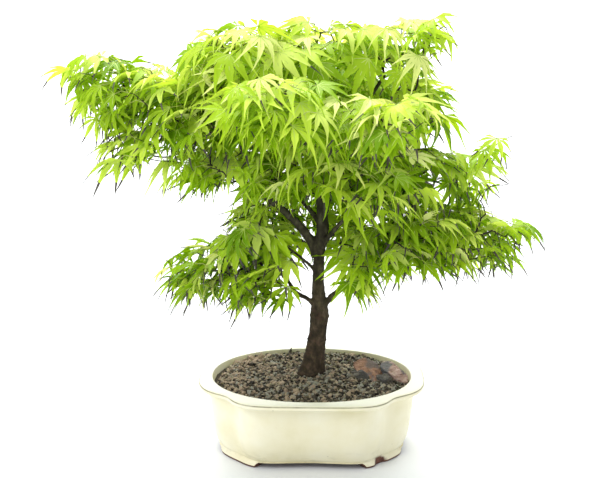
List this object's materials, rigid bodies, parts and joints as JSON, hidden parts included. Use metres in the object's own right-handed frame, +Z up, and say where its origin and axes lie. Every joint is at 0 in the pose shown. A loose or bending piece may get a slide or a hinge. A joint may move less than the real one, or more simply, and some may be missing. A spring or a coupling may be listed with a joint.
{
  "type": "potted japanese maple bonsai",
  "caption": "Small maple tree with a leaning bark-covered trunk and spreading tiers of lobed green leaves, growing in soil in a shallow glazed pot with a lobed rim.",
  "frame": {"origin": "under the middle of the plant's box, on the surface that the pot's feet stand on", "axes": "+X along the pot's long side, +Y towards the back, +Z up"},
  "size_m": [0.464, 0.2702, 0.4096],
  "materials": {
    "glaze": "cream glossy glaze",
    "soil": "matte gritty granules",
    "stone_rust": "matte",
    "stone_pale": "matte",
    "bark": "matte bark",
    "foliage": "satin leaves"
  },
  "bodies": {
    "root": {"back_bough": "bark", "back_high_left": "foliage", "back_high_middle": "foliage", "back_high_right": "foliage", "back_left_bough": "bark", "back_low_left": "foliage", "back_low_left_bough": "bark", "back_low_right": "foliage", "back_low_right_bough": "bark", "back_middle": "foliage", "back_middle_left": "foliage", "back_middle_right": "foliage", "back_right_bough": "bark", "centre_left": "foliage", "crown_core": "foliage", "crown_top_left": "foliage", "crown_top_middle": "foliage", "crown_top_right": "foliage", "front_high_left": "foliage", "front_high_right": "foliage", "front_left_bough": "bark", "front_low_right": "foliage", "front_right_bough": "bark", "high_left_bough": "bark", "high_right_bough": "bark", "left_arm_inner": "foliage", "left_arm_outer": "foliage", "left_arm_root": "foliage", "left_arm_tip": "foliage", "left_arm_under": "foliage", "left_fork_bough": "bark", "left_low_middle": "foliage", "left_low_root": "foliage", "left_low_tip": "foliage", "left_low_top": "foliage", "low_left_bough": "bark", "low_right_bough": "bark", "main_left_bough": "bark", "pot": "glaze", "right_arm_bough": "bark", "right_arm_inner": "foliage", "right_arm_outer": "foliage", "right_arm_sprig": "foliage", "right_bough": "bark", "right_high": "foliage", "right_low_middle": "foliage", "right_low_outer": "foliage", "right_low_root": "foliage", "right_low_sprig": "foliage", "right_low_under": "foliage", "second_leader": "bark", "second_left_bough": "bark", "soil": "soil", "stone_pale": "stone_pale", "stone_rust": "stone_rust", "trunk": "bark"}
  },
  "joints": []
}
